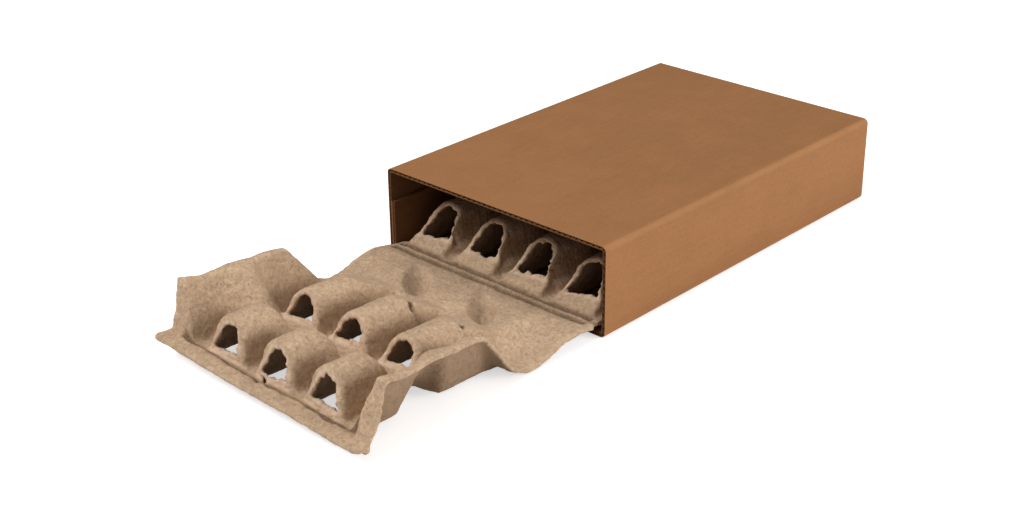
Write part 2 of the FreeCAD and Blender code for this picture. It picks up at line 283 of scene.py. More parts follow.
def board_path(spacing, fold_steps):
    """Outside line of the folded board across the sleeve, as (x, z) with the way in at each point."""
    r, left, right, top = FOLD_RADIUS, -HALF_WIDTH, HALF_WIDTH, HEIGHT
    inner_left = left + BOARD
    path = [((left, SEAM), (1, 0))]
    path += run_points((left, SEAM), (left, top - r), (1, 0), spacing)
    path += arc_points(left + r, top - r, math.pi, fold_steps)
    path += run_points((left + r, top), (right - r, top), (0, -1), spacing)
    path += arc_points(right - r, top - r, math.pi / 2, fold_steps)
    path += run_points((right, top - r), (right, r), (-1, 0), spacing)
    path += arc_points(right - r, r, 0, fold_steps)
    path += run_points((right - r, 0), (inner_left + r, 0), (0, 1), spacing)
    path += arc_points(inner_left + r, r, -math.pi / 2, fold_steps)
    path += run_points((inner_left, r), (inner_left, FLAP_TOP), (1, 0), spacing)
    path.append(((inner_left, FLAP_TOP), (1, 0)))
    return path


print("the board's path has", len(board_path(4.0 * MM, 8)), "points")


# %% Wrapping a grid round the path
def wrapped_sheet(name, path, rows, depth_at, front, back):
    """A grid with one column for each point of the path, moved in by depth_at(length along the path)."""
    clear_selection()
    bpy.ops.mesh.primitive_grid_add(x_subdivisions=len(path) - 1, y_subdivisions=rows, size=1)
    sheet = solo(name)
    lengths, total = [0.0], 0.0
    for (a, _), (b, _) in zip(path, path[1:]):
        total += math.dist(a, b)
        lengths.append(total)
    columns = len(path)
    for vertex in sheet.data.vertices:
        column = min(columns - 1, max(0, round((vertex.co.x + 0.5) * (columns - 1))))
        (x, z), (in_x, in_z) = path[column]
        depth = depth_at(lengths[column])
        y = front + (back - front) * (vertex.co.y + 0.5)
        vertex.co = (x + in_x * depth, y, z + in_z * depth)
    return sheet


def give_wall(sheet, wall):
    """Gives a sheet its thickness, half to each side."""
    solid = sheet.modifiers.new("wall", "SOLIDIFY")
    solid.thickness, solid.offset = wall, 0.0
    apply_modifier(sheet, solid)


def face_out(piece):
    """Turns every face of a closed piece outwards."""
    select_only(piece)
    bpy.ops.object.mode_set(mode="EDIT")
    bpy.ops.mesh.select_all(action="SELECT")
    bpy.ops.mesh.normals_make_consistent(inside=False)
    bpy.ops.object.mode_set(mode="OBJECT")


def smooth_by_angle(piece, degrees):
    """Shades a piece smooth, but for edges sharper than the angle."""
    select_only(piece)
    bpy.ops.object.shade_smooth_by_angle(angle=math.radians(degrees))


def count_of(piece):
    """How many triangles a piece has."""
    return sum(len(p.vertices) - 2 for p in piece.data.polygons)


# %% The two liners
LINER_ROWS = 66


def liner_sheet(name, depth):
    """A liner whose middle lies at a depth below the board's outside."""
    return wrapped_sheet(name, board_path(3.0 * MM, 10), LINER_ROWS, lambda s: depth, MOUTH_Y, BACK_Y)


outer_liner = liner_sheet("outer_liner", LINER / 2)
inner_liner = liner_sheet("inner_liner", BOARD - LINER / 2)
for liner in (outer_liner, inner_liner):
    give_wall(liner, LINER)
    face_out(liner)
    smooth_by_angle(liner, 40)
    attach(liner, "sleeve")
    print(liner.name, "has", count_of(liner), "triangles")
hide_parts("sleeve")
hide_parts("sleeve")

# %% The waved medium
WAVE = (BOARD - 2 * LINER - MEDIUM) / 2
SHORT = 0.3 * MM


def flute_depth(length):
    """How far in the medium lies: a wave between the two liners."""
    return BOARD / 2 + WAVE * math.sin(2 * math.pi * length / FLUTE_PITCH)


path = board_path(FLUTE_PITCH / 10, 12)
medium = wrapped_sheet("flutes", path, 1, flute_depth, MOUTH_Y + SHORT, BACK_Y - SHORT)
give_wall(medium, MEDIUM)
face_out(medium)
smooth_by_angle(medium, 60)
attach(medium, "sleeve")
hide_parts("sleeve")
print("flutes have", count_of(medium), "triangles")

# %% [markdown]
# ## Paper and pulp finishes
# Both finishes are paper, so both are made of the same things: cloudy tone, fine grain, pale fibres
# that lie every way, and a few dark specks. That is one node group with its own sizes in each
# material. Everything is measured in millimetres on Object coordinates, so the grain keeps its real
# size whatever the piece, and stays put when the piece moves.

# %% Node helpers
def ramp(tree, value, low, high, to_low=0.0, to_high=1.0):
    """Maps a value from one range to another, smoothly and clamped."""
    made = node(tree, "ShaderNodeMapRange", interpolation_type="SMOOTHSTEP")
    wire(tree, value, made.inputs["Value"])
    names = ("From Min", "From Max", "To Min", "To Max")
    for name, number in zip(names, (low, high, to_low, to_high)):
        made.inputs[name].default_value = number
    return made.outputs["Result"]


def mix_colour(tree, factor, a, b):
    """Mixes two colours, each a socket or a linear RGB triple; gives the result."""
    made = node(tree, "ShaderNodeMix", data_type="RGBA")
    for socket, value in ((made.inputs[0], factor), (made.inputs[6], a), (made.inputs[7], b)):
        if isinstance(value, (int, float)):
            socket.default_value = value
        elif isinstance(value, tuple):
            socket.default_value = (*value, 1.0)
        else:
            wire(tree, value, socket)
    return made.outputs[2]


def tinted(colour, factors):
    """A linear RGB colour times one number, or times one number for each part."""
    if isinstance(factors, float):
        factors = (factors,) * 3
    return tuple(c * f for c, f in zip(colour, factors))


def lay(tree, tone, mask, amount, colour):
    """Lays a colour over a tone where the mask is, by an amount from 0 to 1."""
    return mix_colour(tree, math_node(tree, "MULTIPLY", mask, amount), tone, colour)


def new_group(name, inputs, outputs):
    """An empty shader node group with number or vector inputs and number outputs."""
    group = bpy.data.node_groups.new(name, "ShaderNodeTree")
    for label, kind, value in inputs:
        socket = group.interface.new_socket(label, in_out="INPUT", socket_type=kind)
        if value is not None:
            socket.default_value = value
    for label in outputs:
        group.interface.new_socket(label, in_out="OUTPUT", socket_type="NodeSocketFloat")
    return group, group.nodes.new("NodeGroupInput"), group.nodes.new("NodeGroupOutput")


# %% The paper grain group
def build_paper_grain():
    """Cloud, grain, pale fibres and dark specks, from a position in mm."""
    group, inn, out = new_group(
        "paper grain",
        [
            ("Place", "NodeSocketVector", None),
            ("Cloud Size", "NodeSocketFloat", 20.0),
            ("Grain Size", "NodeSocketFloat", 1.0),
            ("Fibre Size", "NodeSocketFloat", 3.0),
            ("Speck Size", "NodeSocketFloat", 2.0),
        ],
        ["Cloud", "Grain", "Fibres", "Specks", "Height"],
    )

    def noise_at(size_socket, detail, shift):
        """Noise of the size on a socket, moved so that no two are alike."""
        size = math_node(group, "DIVIDE", 1.0, inn.outputs[size_socket])
        move = node(group, "ShaderNodeVectorMath", operation="ADD")
        move.inputs[1].default_value = shift
        wire(group, inn.outputs["Place"], move.inputs[0])
        made = node(group, "ShaderNodeTexNoise", Detail=detail, Roughness=0.6)
        wire(group, move.outputs[0], made.inputs["Vector"])
        wire(group, size, made.inputs["Scale"])
        return made.outputs[0]

    cloud = noise_at("Cloud Size", 3.0, (3, 8, 1))
    grain = noise_at("Grain Size", 3.0, (11, 2, 5))
    bend = noise_at("Fibre Size", 2.0, (7, 7, 2))
    bent = node(group, "ShaderNodeVectorMath", operation="MULTIPLY_ADD")
    sway = node(group, "ShaderNodeCombineXYZ")
    for i, shift in enumerate((0.5, 0.35, 0.65)):
        wire(group, math_node(group, "SUBTRACT", bend, shift), sway.inputs[i])
    wire(group, sway.outputs[0], bent.inputs[0])
    bent.inputs[1].default_value = (4.0, -4.0, 4.0)
    wire(group, inn.outputs["Place"], bent.inputs[2])
    cells = node(group, "ShaderNodeTexVoronoi", feature="DISTANCE_TO_EDGE")
    wire(group, bent.outputs[0], cells.inputs["Vector"])
    wire(group, math_node(group, "DIVIDE", 1.0, inn.outputs["Fibre Size"]), cells.inputs["Scale"])
    thin = ramp(group, cells.outputs["Distance"], 0.0, 0.07, 1.0, 0.0)
    broken = ramp(group, noise_at("Fibre Size", 1.0, (1, 9, 4)), 0.48, 0.60)
    fibres = math_node(group, "MULTIPLY", thin, broken)
    dots = node(group, "ShaderNodeTexVoronoi", feature="F1")
    wire(group, inn.outputs["Place"], dots.inputs["Vector"])
    wire(group, math_node(group, "DIVIDE", 1.0, inn.outputs["Speck Size"]), dots.inputs["Scale"])
    spot = ramp(group, dots.outputs["Distance"], 0.06, 0.20, 1.0, 0.0)
    sparse = ramp(group, noise_at("Speck Size", 0.0, (5, 5, 5)), 0.55, 0.66)
    specks = math_node(group, "MULTIPLY", spot, sparse)
    raised = math_node(group, "MULTIPLY", fibres, 0.3)
    height = math_node(group, "ADD", math_node(group, "MULTIPLY", grain, 0.7), raised)
    for i, value in enumerate((cloud, grain, fibres, specks, height)):
        wire(group, value, out.inputs[i])
    return group


PAPER_GRAIN = build_paper_grain()
print("paper grain group:", len(PAPER_GRAIN.nodes), "nodes")


def start_material(name, roughness):
    """A Principled material with its place in mm ready to use."""
    material = bpy.data.materials.new(name)
    material.use_nodes = True
    tree = material.node_tree
    shader = tree.nodes["Principled BSDF"]
    shader.inputs["Roughness"].default_value = roughness
    shader.inputs["Specular IOR Level"].default_value = 0.25
    coordinates = node(tree, "ShaderNodeTexCoord")
    place = node(tree, "ShaderNodeVectorMath", operation="SCALE")
    place.inputs["Scale"].default_value = 1000.0
    wire(tree, coordinates.outputs["Object"], place.inputs[0])
    return material, tree, shader, place.outputs[0]


def add_grain(tree, place, sizes):
    """Places the paper grain group with its own sizes."""
    made = node(tree, "ShaderNodeGroup", node_tree=PAPER_GRAIN)
    wire(tree, place, made.inputs["Place"])
    for label, size in sizes.items():
        made.inputs[label].default_value = size
    return made


def add_bump(tree, shader, height, depth_mm):
    """Feeds a height into the shader's normal."""
    bump = node(tree, "ShaderNodeBump", Distance=depth_mm * MM)
    bump.inputs["Strength"].default_value = 1.0
    wire(tree, height, bump.inputs["Height"])
    wire(tree, bump.outputs[0], shader.inputs["Normal"])


# %% [markdown]
# ## Kraft board
# Kraft liner is even and warm, with faint streaks along the way the paper ran, fine grain and a few
# pale fibres. It is worn paler along the folds, where the fibres are stretched, and its cut edges are
# paler still. The folds and edges are found from the piece's own coordinates.

# %% Kraft material
def past(tree, value, limit):
    """How far a coordinate is beyond a limit, on either side of zero."""
    return math_node(tree, "SUBTRACT", math_node(tree, "ABSOLUTE", value), limit)


def worn_edges(tree, place, grain, wear):
    """Where the liner is worn: broken patches along the folds, and the cut ends."""
    apart = node(tree, "ShaderNodeSeparateXYZ")
    wire(tree, place, apart.inputs[0])
    x, y, z = apart.outputs
    side = past(tree, x, (HALF_WIDTH - FOLD_RADIUS) / MM)
    middle = math_node(tree, "SUBTRACT", z, HEIGHT / 2 / MM)
    rise = past(tree, middle, (HEIGHT / 2 - FOLD_RADIUS) / MM)
    fold = ramp(tree, math_node(tree, "MINIMUM", side, rise), -0.5, 1.3)
    cloud = math_node(tree, "MULTIPLY", grain.outputs["Cloud"], 0.6)
    rough = math_node(tree, "ADD", cloud, math_node(tree, "MULTIPLY", grain.outputs["Grain"], 0.7))
    fold = math_node(tree, "MULTIPLY", fold, ramp(tree, rough, 0.35, 0.75))
    end = ramp(tree, past(tree, y, BACK_Y / MM), -0.5, -0.02)
    end = math_node(tree, "MULTIPLY", end, 0.8 * wear)
    return math_node(tree, "MAXIMUM", math_node(tree, "MULTIPLY", fold, wear), end)


def kraft_material(name, colour, streak, wear):
    """Kraft paper: colour is linear RGB, streak and wear are amounts."""
    material, tree, shader, place = start_material(name, 0.82)
    sizes = {"Cloud Size": 30.0, "Grain Size": 0.9, "Fibre Size": 3.2, "Speck Size": 2.6}
    grain = add_grain(tree, place, sizes)
    stretch = node(tree, "ShaderNodeVectorMath", operation="MULTIPLY")
    stretch.inputs[1].default_value = (0.9, 0.06, 0.9)
    wire(tree, place, stretch.inputs[0])
    lines = node(tree, "ShaderNodeTexNoise", Scale=1.0, Detail=3.0, Roughness=0.65)
    wire(tree, stretch.outputs[0], lines.inputs["Vector"])
    dark, pale = tinted(colour, 0.80), tinted(colour, (1.22, 1.28, 1.40))
    cloudy = ramp(tree, grain.outputs["Cloud"], 0.30, 0.70)
    tone = mix_colour(tree, cloudy, tinted(colour, 0.955), tinted(colour, 1.04))
    tone = lay(tree, tone, ramp(tree, lines.outputs[0], 0.35, 0.70), streak, dark)
    tone = lay(tree, tone, ramp(tree, grain.outputs["Grain"], 0.52, 0.80), 0.50, dark)
    tone = lay(tree, tone, ramp(tree, grain.outputs["Grain"], 0.46, 0.25), 0.35, pale)
    tone = lay(tree, tone, grain.outputs["Fibres"], 0.22, pale)
    tone = lay(tree, tone, grain.outputs["Specks"], 0.35, tinted(colour, 0.55))
    tone = mix_colour(tree, worn_edges(tree, place, grain, wear), tone, pale)
    wire(tree, tone, shader.inputs["Base Color"])
    wire(tree, ramp(tree, grain.outputs["Grain"], 0.3, 0.7, 0.76, 0.90), shader.inputs["Roughness"])
    add_bump(tree, shader, grain.outputs["Height"], 0.05)
    return material


KRAFT = (0.302, 0.135, 0.050)
outer_kraft = kraft_material("outer kraft", KRAFT, 0.30, 0.75)
# Painted shade: the inner liner is the outer kraft at half its tone, so that the inside of the sleeve
# stays dark.
inner_kraft_painted_shade = kraft_material("inner kraft painted darker", tinted(KRAFT, 0.5), 0.30, 0.5)
medium_kraft = kraft_material("fluting paper", tinted(KRAFT, 0.72), 0.15, 0.4)
for piece, material in ((outer_liner, outer_kraft), (inner_liner, inner_kraft_painted_shade), (medium, medium_kraft)):
    piece.data.materials.append(material)
print("kraft on", outer_liner.name, inner_liner.name, medium.name)

# %% [markdown]
# ## The pulp insert
# The insert is one sheet of moulded pulp: wet fibre is sucked onto a wire mould and dried. Nothing on
# it is crisp, its walls wander, and where the ridges were punched open the rims are torn. The frame
# has its exact form as two bodies, so a copy of both is the start, joined by a strip where they meet
# at the hinge. A voxel remesh then turns everything into one even skin that can be softened and pushed
# about like clay, which a mesh with long thin faces can't.

# %% Copies of the two bodies
BASE_LOW, BASE_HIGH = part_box("insert_base")
HINGE_Y = MOUTH_Y - 2.5 * MM
HINGE_Z = 6.0 * MM
PULP = 2.4 * MM
LID_TILT = math.radians(2.0)
LID_FLOOR_Z = HINGE_Z - 7.0 * MM + PULP
BASE_FLOOR_Z = 4.5 * MM


def copy_of_node(name):
    """A copy of a frame node's mesh, with its doubled points merged."""
    piece = bpy.data.objects.new(name + " copy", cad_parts[name].data.copy())
    bpy.context.scene.collection.objects.link(piece)
    select_only(piece)
    bpy.ops.object.mode_set(mode="EDIT")
    bpy.ops.mesh.select_all(action="SELECT")
    bpy.ops.mesh.remove_doubles(threshold=0.001 * MM)
    bpy.ops.object.mode_set(mode="OBJECT")
    piece.data.materials.clear()
    return piece


def join_into(piece, others):
    """Joins other pieces into the first."""
    select_only(piece)
    for other in others:
        other.select_set(True)
    bpy.ops.object.join()
    return piece


insert = copy_of_node("insert_base")
lid_copy = copy_of_node("insert_lid")
print("base copy", count_of(insert), "triangles, lid copy", count_of(lid_copy))


# %% Hinge strip
def block(name, low, high):
    """A plain block between two corners."""
    clear_selection()
    size = [b - a for a, b in zip(low, high)]
    middle = [(a + b) / 2 for a, b in zip(low, high)]
    bpy.ops.mesh.primitive_cube_add(size=1, location=middle, scale=size)
    piece = solo(name)
    bpy.ops.object.transform_apply(location=True, rotation=True, scale=True)
    return piece


STRIP_REACH = 3.4 * MM
strip = block(
    "hinge strip",
    (BASE_LOW.x + 0.2 * MM, HINGE_Y - STRIP_REACH, HINGE_Z - PULP + 0.05 * MM),
    (BASE_HIGH.x - 0.2 * MM, HINGE_Y + STRIP_REACH, HINGE_Z - 0.02 * MM),
)
print("hinge strip is", round(strip.dimensions.x / MM, 1), "mm long")


# %% Places on the lid
def lid_point(x, distance, height):
    """A point on the lid: across, out from the hinge line, and up from the top of the lid's floor."""
    rise = LID_FLOOR_Z + height - HINGE_Z
    z = HINGE_Z + rise * math.cos(LID_TILT) + distance * math.sin(LID_TILT)
    y = HINGE_Y - distance * math.cos(LID_TILT) + rise * math.sin(LID_TILT)
    return Vector((x, y, z))


def lid_coordinates(points):
    """The other way, for many points: across, out from the hinge and up from the floor, in mm."""
    run, rise = HINGE_Y - points[:, 1], points[:, 2] - HINGE_Z
    distance = run * math.cos(LID_TILT) + rise * math.sin(LID_TILT)
    height = rise * math.cos(LID_TILT) - run * math.sin(LID_TILT) + HINGE_Z - LID_FLOOR_Z
    return points[:, 0] / MM, distance / MM, height / MM


print("lid floor at the hinge:", round(LID_FLOOR_Z / MM, 1), "mm up")

# %% Soft swellings of the hinge panel
def boss_height(x, d):
    """Height of the soft swelling on the hinge panel, in mm: level in the middle and low at its ends."""
    level = np.interp(d, [7, 14, 24, 34, 39, 43, 46], [5.4, 6.6, 7.3, 7.1, 6.2, 3.0, 0.0])
    return level + 0.7 * math.cos(math.pi * x / 20.0) * np.interp(d, [7, 18, 32, 42], [0, 1, 1, 0])


def boss_sheet(name, side):
    """One half of the hinge panel's upper face, filled up between the tails of the ridges."""
    across = [-0.4, 4.0, 9.6, 10.6, 12.5, 14.8, 17.0, 18.6, 19.6]
    across += [24.0, 29.6, 35.0, 39.3, 40.6, 43.0, 47.0, 52.0]
    along = [7.0, 10.0, 14.0, 18.0, 22.0, 26.0, 30.0, 34.0, 38.0, 41.0, 43.5, 46.0]
    clear_selection()
    bpy.ops.mesh.primitive_grid_add(x_subdivisions=len(across) - 1, y_subdivisions=len(along) - 1, size=1)
    sheet = solo(name)
    rows = len(along)
    tops = {}
    for vertex in sheet.data.vertices:
        x = across[round((vertex.co.x + 0.5) * (len(across) - 1))]
        d = along[round((vertex.co.y + 0.5) * (rows - 1))]
        tail = np.interp(d, [7, 20, 36, 46], [5.4, 6.0, 7.4, 11.0])
        panel = np.interp(d, [7, 9, 18, 35, 46], [5.6, 6.0, 5.3, 0.0, 0.0])
        boss = boss_height(x, d)
        if x < 10.0 or 19.0 < x < 40.0:
            top, bottom = max(boss, tail - 0.9), tail - 1.9
        elif x < 19.0:
            top, bottom = max(boss, panel - 0.4), panel - 1.4
        else:
            top = panel - 0.7 + (boss - panel) * (1 - (x - 40.0) / 12.0) ** 1.6
            bottom = panel - 1.4
        tops[vertex.index] = (top, bottom)
        vertex.co = lid_point(side * x * MM, d * MM, top * MM)
    bpy.ops.object.mode_set(mode="EDIT")
    bpy.ops.mesh.select_all(action="SELECT")
    bpy.ops.mesh.extrude_region_move(TRANSFORM_OT_translate={"value": (0, 0, -1.0 * MM)})
    bpy.ops.object.mode_set(mode="OBJECT")
    # every lower point finds the upper point that it came from
    grid = len(across) * rows
    upper = {tuple(round(c / (0.01 * MM)) for c in sheet.data.vertices[i].co.xy): i for i in range(grid)}
    for vertex in list(sheet.data.vertices)[grid:]:
        twin = upper[tuple(round(c / (0.01 * MM)) for c in vertex.co.xy)]
        top, bottom = tops[twin]
        vertex.co.z = sheet.data.vertices[twin].co.z - (top - bottom) * MM
    face_out(sheet)
    return sheet


bosses = [boss_sheet("hinge panel boss", side) for side in (-1, 1)]
print("hinge panel bosses:", [count_of(sheet) for sheet in bosses], "triangles")

# %% [markdown]
# ## Torn openings
# Each ridge is punched open in one end wall. The frame's openings are clean arches, so wider ragged
# ones are cut over them, and small lumps are strung along every rim for the loose fibre.

# %% Where the rims are
RIDGE_PITCH = 29.6
LID_RIDGES = (-RIDGE_PITCH, 0.0, RIDGE_PITCH)
BASE_RIDGES = (-1.5 * RIDGE_PITCH, -0.5 * RIDGE_PITCH, 0.5 * RIDGE_PITCH, 1.5 * RIDGE_PITCH)
BASE_ROWS = 4
ROW_PITCH = 43.875


def wave_of(wander, i, count):
    """A slow closed wave at point i of the count that go round a rim."""
    turn = 2 * math.pi * i / count
    return sum(w * math.sin((k + 2) * turn + 3 * w) for k, w in enumerate(wander)) / 2.2


def torn_outline(left, right, crown, radius, draw):
    """A ragged arch as (across, height) in mm: left and right are its feet, and the sill comes last."""
    spring = crown - radius
    points = [between(left, (-radius, spring), t, 9) for t in range(9)]
    for t in range(19):
        turn = math.pi * t / 18
        points.append((-radius * math.cos(turn), spring + radius * math.sin(turn)))
    points += [between(right, (radius, spring), t, 9) for t in range(8, -1, -1)]
    points += [between(right, left, t, 14) for t in range(1, 14)]
    wander = draw.uniform(-1, 1, 6)
    ragged = []
    for i, (a, h) in enumerate(points):
        on_sill = i > len(points) - 14
        slow, quick = (0.9, 0.5) if on_sill else (0.45, 0.25)
        out = slow * wave_of(wander, i, len(points)) + quick * draw.uniform(-1, 1)
        length = math.hypot(a, h - spring)
        ragged.append((a + a / length * out, h + (h - spring) / length * out))
    return ragged


def sloping_face(place, start, low, slope):
    """Puts (across, height, in) of one opening into the scene: its face leans back by slope."""
    return lambda a, h, into: place(a, start + (h - low) * slope + into, h)


def lid_face(x, start, low, slope):
    """An opening's face on the lid: start is its distance from the hinge at the height low."""
    return sloping_face(lambda a, d, h: lid_point((x + a) * MM, d * MM, h * MM), start, low, slope)


def base_face(x, start, low, slope):
    """The same on the base, where start is measured in from the mouth."""

    def place(a, y, h):
        return Vector(((x + a) * MM, MOUTH_Y + y * MM, BASE_FLOOR_Z + h * MM))

    return sloping_face(place, start, low, slope)


# left foot, right foot, height of the crown and its radius, in mm
LID_INNER = ((-10.4, 3.3), (6.8, 6.3), 14.2, 5.7)
LID_OUTER = ((-9.0, 2.2), (7.4, 2.4), 14.4, 4.6)
BASE_FIRST = ((-9.3, 4.3), (7.9, 5.7), 17.7, 6.5)
BASE_OTHER = ((-8.9, 3.2), (7.8, 4.4), 17.4, 6.3)
draw = np.random.default_rng(7)
openings = []
for x in LID_RIDGES:
    openings.append((lid_face(x, 82.5, 3.0, -0.40), torn_outline(*LID_INNER, draw), "lid"))
    openings.append((lid_face(x, 121.2, 0.0, -0.23), torn_outline(*LID_OUTER, draw), "lid"))
for x in BASE_RIDGES:
    openings.append((base_face(x, 11.0, 7.0, 0.79), torn_outline(*BASE_FIRST, draw), "base"))
    for row in range(1, BASE_ROWS):
        face = base_face(x, row * ROW_PITCH + 10.0, 3.0, 0.32)
        openings.append((face, torn_outline(*BASE_OTHER, draw), "base"))
rims = [[face(a, h, 0.0) for a, h in outline] for face, outline, _ in openings]
print(len(rims), "openings with", sum(len(rim) for rim in rims), "rim points")


# %% Tearing the openings wider
def tearing_tool(face, outline, depth):
    """A block with the outline's shape that goes through an end wall, leaning as the wall leans."""
    clear_selection()
    bpy.ops.mesh.primitive_circle_add(vertices=len(outline), radius=1.0, fill_type="NGON")
    tool = solo("tearing tool")
    front = [face(a, h, -depth) for a, h in outline]
    back = [face(a, h, depth) for a, h in outline]
    bpy.ops.object.mode_set(mode="EDIT")
    bpy.ops.mesh.select_all(action="SELECT")
    bpy.ops.mesh.extrude_region_move(TRANSFORM_OT_translate={"value": (0, 0, 1)})
    bpy.ops.object.mode_set(mode="OBJECT")
    for i, vertex in enumerate(tool.data.vertices):
        vertex.co = (front + back)[i]
    face_out(tool)
    return tool


def cut_away(piece, tools):
    """Cuts all the tools out of a piece at once."""
    tool = join_into(tools[0], tools[1:]) if len(tools) > 1 else tools[0]
    cut = piece.modifiers.new("cut", "BOOLEAN")
    cut.operation, cut.object, cut.solver = "DIFFERENCE", tool, "EXACT"
    apply_modifier(piece, cut)
    bpy.data.objects.remove(tool)
    print(piece.name, "now has", count_of(piece), "triangles")


for piece, half, depth in ((insert, "base", 5.0), (lid_copy, "lid", 3.6)):
    cut_away(piece, [tearing_tool(face, line, depth) for face, line, body in openings if body == half])


# %% Lumps along the torn rims
def lump_chain(name, rims, draw):
    """One piece with a small faceted lump at every rim point, no two the same."""
    clear_selection()
    bpy.ops.mesh.primitive_ico_sphere_add(subdivisions=1, radius=1.0)
    lump = solo(name)
    ball = np.array([v.co for v in lump.data.vertices])
    faces = np.array([list(p.vertices) for p in lump.data.polygons])
    places, loops = [], []
    for rim in rims:
        middle = sum(rim, Vector()) / len(rim)
        wander = draw.uniform(-1, 1, 6)
        for i, point in enumerate(rim):
            wave = wave_of(wander, i, len(rim))
            inward = (middle - point).normalized()
            size = (0.50 + 0.60 * draw.random()) * MM
            shift = (-0.65 + 0.55 * wave + 0.60 * draw.uniform(-1, 1)) * MM
            place = point + inward * shift + Vector(draw.uniform(-0.25, 0.25, 3)) * MM
            stretch = draw.uniform(0.75, 1.3, 3)
            places.append(ball * stretch * size + np.array(place))
            loops.append(faces + len(ball) * len(loops))
    lump.data.clear_geometry()
    lump.data.from_pydata(np.concatenate(places).tolist(), [], np.concatenate(loops).tolist())
    lump.data.update()
    return lump


lumps = lump_chain("rim lumps", rims, draw)
print("rim lumps:", count_of(lumps), "triangles")

# %% A small torn hole beside the middle opening
def cylinder_tool(place, radius, tilt):
    """A short cylinder through the sheet at a place on the lid, leaning by tilt degrees."""
    clear_selection()
    bpy.ops.mesh.primitive_cylinder_add(vertices=12, radius=radius * MM, depth=10 * MM, location=place)
    tool = solo("round tool")
    tool.rotation_euler = (math.radians(tilt), 0, 0)
    bpy.ops.object.transform_apply(location=True, rotation=True, scale=True)
    return tool


HOLE_PLACE = lid_point(-5.6 * MM, 122.6 * MM, 1.6 * MM)
cut_away(lid_copy, [cylinder_tool(HOLE_PLACE, 2.3, 62)])

# %% [markdown]
# ## One soft skin
# Everything so far is joined and remeshed into one skin. It could be smoothed all over at once, but
# that would melt the torn rims, so each softening has a weight for every point.

# %% One even skin
VOXEL = 0.8 * MM
join_into(insert, [lid_copy, strip, lumps] + bosses)
insert.name = insert.data.name = "pulp_insert"
skin = insert.modifiers.new("skin", "REMESH")
skin.mode, skin.voxel_size = "VOXEL", VOXEL
apply_modifier(insert, skin)
print("the skin has", len(insert.data.vertices), "points")

# %% Reading and writing the points
def points_of(piece):
    """The places of a piece's points, one row each."""
    points = np.empty(len(piece.data.vertices) * 3)
    piece.data.vertices.foreach_get("co", points)
    return points.reshape(-1, 3)


def set_points(piece, points):
    """Puts the points of a piece at new places."""
    piece.data.vertices.foreach_set("co", np.ascontiguousarray(points).ravel())
    piece.data.update()


def normals_of(piece):
    """The way out of the surface at each point."""
    normals = np.empty(len(piece.data.vertices) * 3, dtype=np.float32)
    piece.data.vertex_normals.foreach_get("vector", normals)
    return normals.reshape(-1, 3).astype(float)


def weight_group(piece, name, weights):
    """A vertex group with a weight for each point, rounded to eighths."""
    group = piece.vertex_groups.new(name=name)
    levels = np.round(weights * 8) / 8
    for level in np.unique(levels):
        group.add(np.flatnonzero(levels == level).tolist(), float(level), "REPLACE")


def soften(piece, name, weights, iterations):
    """Lets the points down towards their neighbours, by a weight for each point."""
    weight_group(piece, name, weights)
    ease = piece.modifiers.new("ease " + name, "SMOOTH")
    ease.factor, ease.iterations, ease.vertex_group = 0.5, iterations, name
    apply_modifier(piece, ease)


spans = points_of(insert).max(axis=0) - points_of(insert).min(axis=0)
print("the skin measures", [round(span / MM) for span in spans], "mm")


# %% Softening
# Away from the rims the form is let down as wet fibre would be; the rims keep their raggedness.
def rim_nearness(points, rims, reach):
    """1 on a rim, falling to 0 at the reach, for every point."""
    spots = [point for rim in rims for point in rim]
    tree = kdtree.KDTree(len(spots))
    for index, point in enumerate(spots):
        tree.insert(point, index)
    tree.balance()
    far = np.array([tree.find(point)[2] for point in points])
    return np.clip(1 - far / reach, 0, 1)


near = rim_nearness(points_of(insert), rims, 5.0 * MM)
soften(insert, "soft", 1 - 0.85 * np.sqrt(near), 14)
print("softened,", int((near > 0).sum()), "points are near a rim")


def step(value, start, end):
    """0 before start and 1 after end, with a soft change between."""
    t = np.clip((value - start) / (end - start), 0, 1)
    return t * t * (3 - 2 * t)


# %% Rounder walls
# The lid's side walls swing in and out in wide folds, so their corners get a second, longer softening.
# The top rims are left out, because a thin edge melts away under it.
x, distance, height = lid_coordinates(points_of(insert))
wall_end = np.where(x > 0, 112, 108)
side_wall = step(np.abs(x), 38, 46) * step(distance, 48, 56)
side_wall *= 1 - step(distance, wall_end, wall_end + 7)
side_wall *= (1 - step(height, 18.5, 23)) * (1 - near)
soften(insert, "folds", side_wall, 60)
print("rounded", int((side_wall > 0.5).sum()), "points of the side walls")


# %% [markdown]
# ## Pressing and twisting
# What the mould and rough handling leave is pressed in point by point: two shallow cups and two small
# slits in the hinge panel, the grooves of the hinge and of the lip, and the lid's twist.

# %% Shapes to press with
CUPS = ((-19.5, 24.0), (20.5, 24.5))
CUP_TURN = 0.75
CUP_HALF, CUP_DEPTH = (6.9, 18.0), 5.2
GROOVES = (-2.6, 2.6)
GROOVE_END = 59.5
LIP_GROOVE_END = 53
SLITS = [[(4.4, 51.9), (7.0, 53.7)], [(34.8, 52.1), (35.5, 52.5)]]
CRACK = [(7.6, 54.1), (9.2, 52.5), (10.6, 49.6), (12.6, 46.6), (15.0, 44.4)]


def groove_depth(y, at, width, depth):
    """A soft groove: its depth at the line, and none a few widths away."""
    return depth * np.exp(-(((y - at) / width) ** 2))


def line_groove(x, d, path, width, depth):
    """Depth of a scratch along a line of (across, distance) places."""
    best = np.full(len(x), 1e9)
    for (x1, d1), (x2, d2) in zip(path, path[1:]):
        t = ((x - x1) * (x2 - x1) + (d - d1) * (d2 - d1)) / ((x2 - x1) ** 2 + (d2 - d1) ** 2)
        t = np.clip(t, 0, 1)
        best = np.minimum(best, np.hypot(x - x1 - t * (x2 - x1), d - d1 - t * (d2 - d1)))
    return depth * np.exp(-((best / width) ** 2))


